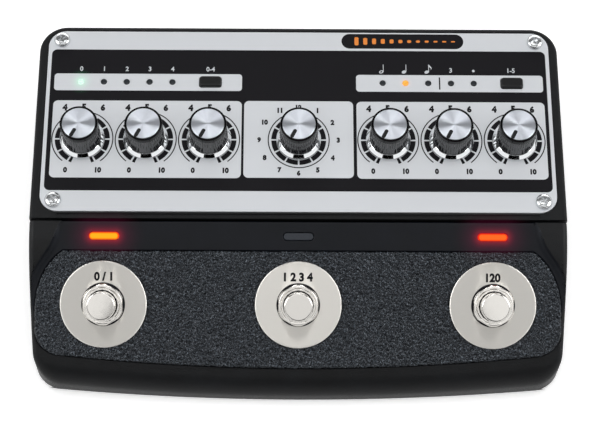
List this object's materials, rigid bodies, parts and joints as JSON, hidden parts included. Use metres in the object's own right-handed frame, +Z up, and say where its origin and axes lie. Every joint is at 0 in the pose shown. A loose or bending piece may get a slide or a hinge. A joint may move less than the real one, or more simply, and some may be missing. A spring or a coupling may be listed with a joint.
{
  "type": "floor delay unit",
  "caption": "Low box with a flat printed control panel, tall fluted knobs, two rows of small lights and a sloping rubber tread deck with chromed foot switches; sockets at the rear.",
  "frame": {"origin": "on the floor, under the middle of the body's width and depth", "axes": "+X towards the right end as the player sees it, +Y away from the player towards the sockets, +Z up"},
  "size_m": [0.192, 0.1334, 0.0521],
  "materials": {
    "housing_paint": "fine textured black powder coat",
    "panel_print": "silver enamel with black print",
    "circuit_board": "solder mask",
    "deck_rubber": "pebbled, satin",
    "foot_rubber": "matt",
    "screw_zinc": "zinc plated",
    "pot_zinc": "plated die casting",
    "knob_plastic": "moulded, with a spun aluminium cap",
    "clear_lens": "clear moulded",
    "black_plastic": "moulded",
    "switch_steel": "turned and polished",
    "chrome": "polished",
    "window_lens": "smooth, over an amber light"
  },
  "bodies": {
    "chassis": {"rear_housing": "housing_paint", "front_housing": "housing_paint", "bottom_plate": "housing_paint", "control_panel": "panel_print", "main_board": "circuit_board", "panel_board": "circuit_board", "indicator_board": "circuit_board", "deck_pad": "deck_rubber", "rubber_foot_1": "foot_rubber", "rubber_foot_2": "foot_rubber", "rubber_foot_3": "foot_rubber", "rubber_foot_4": "foot_rubber", "panel_screw_1": "screw_zinc", "panel_screw_2": "screw_zinc", "panel_screw_3": "screw_zinc", "panel_screw_4": "screw_zinc", "bottom_screw_1": "screw_zinc", "bottom_screw_2": "screw_zinc", "bottom_screw_3": "screw_zinc", "bottom_screw_4": "screw_zinc", "potentiometer_1": "pot_zinc", "potentiometer_2": "pot_zinc", "potentiometer_3": "pot_zinc", "rotary_encoder": "pot_zinc", "potentiometer_4": "pot_zinc", "potentiometer_5": "pot_zinc", "potentiometer_6": "pot_zinc", "light_guide_left": "clear_lens", "light_guide_right": "clear_lens", "switch_plate_1": "switch_steel", "switch_plate_2": "switch_steel", "switch_plate_3": "switch_steel", "switch_nut_1": "chrome", "switch_nut_2": "chrome", "switch_nut_3": "chrome", "footswitch_1": "pot_zinc", "footswitch_2": "pot_zinc", "footswitch_3": "pot_zinc", "indicator_lens_1": "window_lens", "indicator_lens_2": "window_lens", "indicator_lens_3": "window_lens", "phone_jack_1": "black_plastic", "phone_jack_2": "black_plastic", "phone_jack_3": "black_plastic", "phone_jack_4": "black_plastic", "mini_jack_1": "black_plastic", "mini_jack_2": "black_plastic", "dc_jack": "black_plastic"},
    "knob_1_body": {"knob_1": "knob_plastic"},
    "knob_2_body": {"knob_2": "knob_plastic"},
    "knob_3_body": {"knob_3": "knob_plastic"},
    "mode_knob_body": {"mode_knob": "knob_plastic"},
    "knob_4_body": {"knob_4": "knob_plastic"},
    "knob_5_body": {"knob_5": "knob_plastic"},
    "knob_6_body": {"knob_6": "knob_plastic"},
    "left_button_body": {"panel_button_left": "black_plastic"},
    "right_button_body": {"panel_button_right": "black_plastic"},
    "foot_button_1_body": {"footswitch_button_1": "chrome"},
    "foot_button_2_body": {"footswitch_button_2": "chrome"},
    "foot_button_3_body": {"footswitch_button_3": "chrome"}
  },
  "joints": [
    {"name": "knob_1_turn", "type": "hinge", "parent": "chassis", "child": "knob_1_body", "pos_m": [-0.07805, 0.02005, 0.03875], "axis": [0, 0, -1], "range_deg": [0, 300]},
    {"name": "knob_2_turn", "type": "hinge", "parent": "chassis", "child": "knob_2_body", "pos_m": [-0.0552, 0.02005, 0.03875], "axis": [0, 0, -1], "range_deg": [0, 300]},
    {"name": "knob_3_turn", "type": "hinge", "parent": "chassis", "child": "knob_3_body", "pos_m": [-0.03235, 0.02005, 0.03875], "axis": [0, 0, -1], "range_deg": [0, 300]},
    {"name": "mode_knob_turn", "type": "hinge", "parent": "chassis", "child": "mode_knob_body", "pos_m": [0, 0.02005, 0.03875], "axis": [0, 0, -1], "continuous": true},
    {"name": "knob_4_turn", "type": "hinge", "parent": "chassis", "child": "knob_4_body", "pos_m": [0.03235, 0.02005, 0.03875], "axis": [0, 0, -1], "range_deg": [0, 300]},
    {"name": "knob_5_turn", "type": "hinge", "parent": "chassis", "child": "knob_5_body", "pos_m": [0.0552, 0.02005, 0.03875], "axis": [0, 0, -1], "range_deg": [0, 300]},
    {"name": "knob_6_turn", "type": "hinge", "parent": "chassis", "child": "knob_6_body", "pos_m": [0.07805, 0.02005, 0.03875], "axis": [0, 0, -1], "range_deg": [0, 300]},
    {"name": "left_button_press", "type": "slide", "parent": "chassis", "child": "left_button_body", "axis": [0, 0, -1], "range_m": [0, 0.0006], "stiffness_N_per_m": 300, "springref_m": -0.0005},
    {"name": "right_button_press", "type": "slide", "parent": "chassis", "child": "right_button_body", "axis": [0, 0, -1], "range_m": [0, 0.0006], "stiffness_N_per_m": 300, "springref_m": -0.0005},
    {"name": "foot_button_1_press", "type": "slide", "parent": "chassis", "child": "foot_button_1_body", "axis": [0, 0.4242, -0.9056], "range_m": [0, 0.0025], "stiffness_N_per_m": 800, "springref_m": -0.002},
    {"name": "foot_button_2_press", "type": "slide", "parent": "chassis", "child": "foot_button_2_body", "axis": [0, 0.4242, -0.9056], "range_m": [0, 0.0025], "stiffness_N_per_m": 800, "springref_m": -0.002},
    {"name": "foot_button_3_press", "type": "slide", "parent": "chassis", "child": "foot_button_3_body", "axis": [0, 0.4242, -0.9056], "range_m": [0, 0.0025], "stiffness_N_per_m": 800, "springref_m": -0.002}
  ]
}
